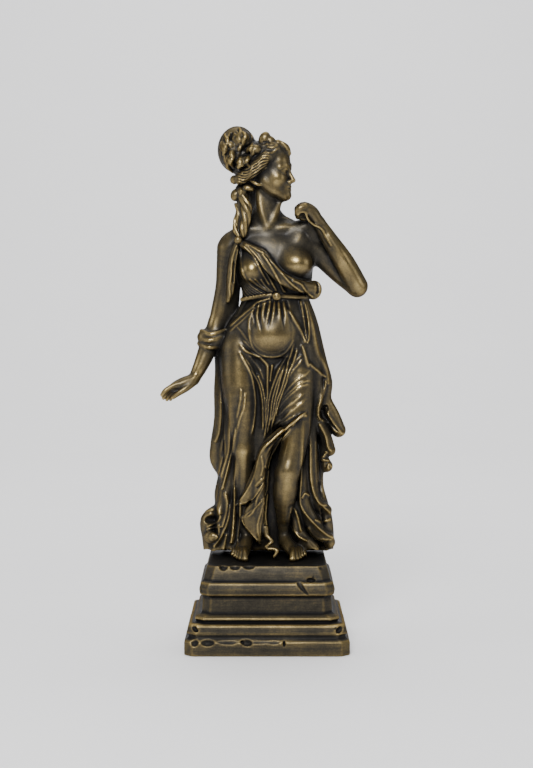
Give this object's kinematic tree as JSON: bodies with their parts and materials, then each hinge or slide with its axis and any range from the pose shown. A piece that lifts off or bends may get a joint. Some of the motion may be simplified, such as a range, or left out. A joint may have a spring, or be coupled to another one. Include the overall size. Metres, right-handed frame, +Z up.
{
  "type": "draped goddess statue",
  "caption": "Table statue of a draped standing goddess with one arm raised, on a stepped square plinth, cast with an antique bronze finish.",
  "frame": {"origin": "middle of the plinth's underside", "axes": "+Z up, -Y the way the plinth's front faces, +X towards the raised arm"},
  "size_m": [0.1242, 0.096, 0.3096],
  "materials": {
    "plinth_bronze": "dark brown patina, brushed with gold, rubbed bright on its edges",
    "figure_bronze": "dark olive brown patina, rubbed gold on the high places"
  },
  "bodies": {
    "root": {"plinth": "plinth_bronze", "figure": "figure_bronze"}
  },
  "joints": []
}
